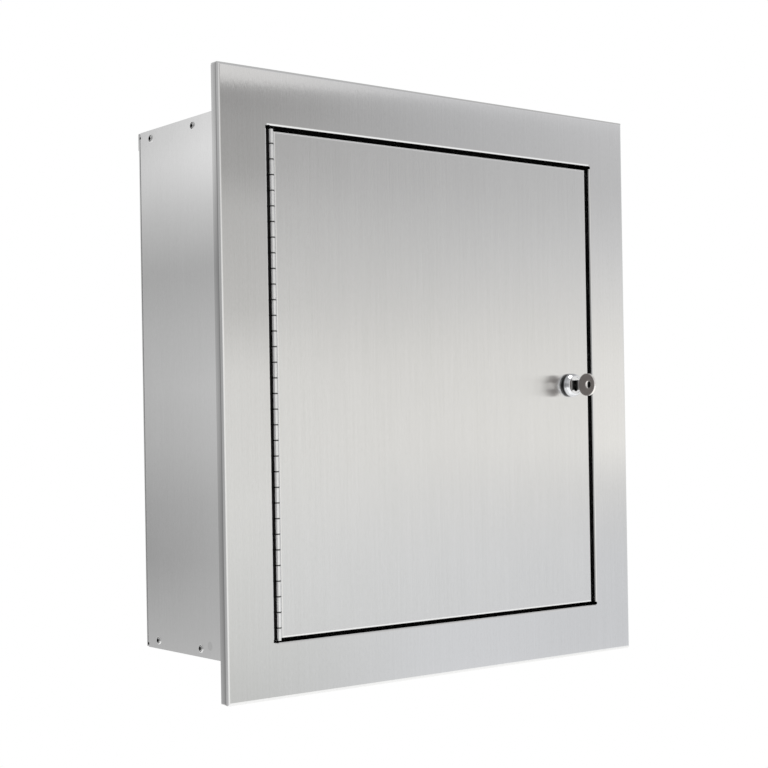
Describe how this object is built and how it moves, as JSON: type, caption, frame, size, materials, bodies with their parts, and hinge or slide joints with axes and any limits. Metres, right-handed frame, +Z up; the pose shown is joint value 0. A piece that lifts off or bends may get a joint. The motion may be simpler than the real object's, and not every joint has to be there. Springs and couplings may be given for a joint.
{
  "type": "recessed medicine cabinet",
  "caption": "Recessed stainless medicine cabinet: riveted box, wide trim frame, flush door on a piano hinge, cam lock with key, lift-out shelves.",
  "frame": {"origin": "centre of the four wall screw holes, on the outer face of the back panel", "axes": "+Y out of the back towards the wall, the front faces -Y; +Z up; +X to the right seen from the front"},
  "size_m": [0.4624, 0.2123, 0.5132],
  "materials": {
    "brushed_sheet": "vertical brushed grain, satin",
    "hinge_steel": "smooth drawn stainless, slightly brighter than the sheet",
    "rivet_steel": "plain stainless rivets, the blind ones with a dark mandrel hole",
    "rail_steel": "rolled stainless, mill finish",
    "zinc_hardware": "zinc-plated steel",
    "lock_chrome": "polished chrome plate",
    "wafer_brass": "plain stamped brass",
    "key_nickel": "dull nickel plate on brass, worn bright along the rim",
    "strip_plastic": "matte black nylon",
    "seal_rubber": "matte black rubber, cut from sheet"
  },
  "bodies": {
    "cabinet": {"trim_frame": "brushed_sheet", "left_side_panel": "brushed_sheet", "right_side_panel": "brushed_sheet", "top_panel": "brushed_sheet", "bottom_panel": "brushed_sheet", "back_panel": "brushed_sheet", "side_rivets": "rivet_steel", "back_rivets": "rivet_steel", "standard_front_left": "rail_steel", "standard_rear_left": "rail_steel", "standard_front_right": "rail_steel", "standard_rear_right": "rail_steel", "shelf_clips": "rail_steel", "door_seal": "seal_rubber", "hinge_backing_strip": "strip_plastic", "hinge_frame_leaf": "hinge_steel", "hinge_pin": "hinge_steel", "hinge_frame_rivets": "rivet_steel"},
    "upper_shelf": {"upper_shelf": "brushed_sheet"},
    "lower_shelf": {"lower_shelf": "brushed_sheet"},
    "door": {"door_panel": "brushed_sheet", "hinge_door_leaf": "hinge_steel", "hinge_door_rivets": "rivet_steel", "lock_housing": "lock_chrome", "lock_washer": "zinc_hardware", "lock_nut": "zinc_hardware"},
    "lock": {"lock_plug": "lock_chrome", "lock_wafers": "wafer_brass", "cam_stop_washer": "zinc_hardware", "lock_cam": "zinc_hardware", "cam_screw": "zinc_hardware"},
    "key": {"key": "key_nickel"}
  },
  "joints": [
    {"name": "door_swing", "type": "hinge", "parent": "cabinet", "child": "door", "pos_m": [-0.1805, -0.1766, 0], "axis": [0, 0, -1], "range_deg": [0, 150]},
    {"name": "lock_turn", "type": "hinge", "parent": "door", "child": "lock", "pos_m": [0.1548, -0.177, 0], "axis": [0, 1, 0], "range_deg": [0, 90]},
    {"name": "key_pull", "type": "slide", "parent": "lock", "child": "key", "axis": [0, -1, 0], "range_m": [0, 0.028]},
    {"name": "upper_shelf_lift", "type": "slide", "parent": "cabinet", "child": "upper_shelf", "axis": [0, 0, 1], "range_m": [0, 0.0254]},
    {"name": "lower_shelf_lift", "type": "slide", "parent": "cabinet", "child": "lower_shelf", "axis": [0, 0, 1], "range_m": [0, 0.0254]}
  ]
}
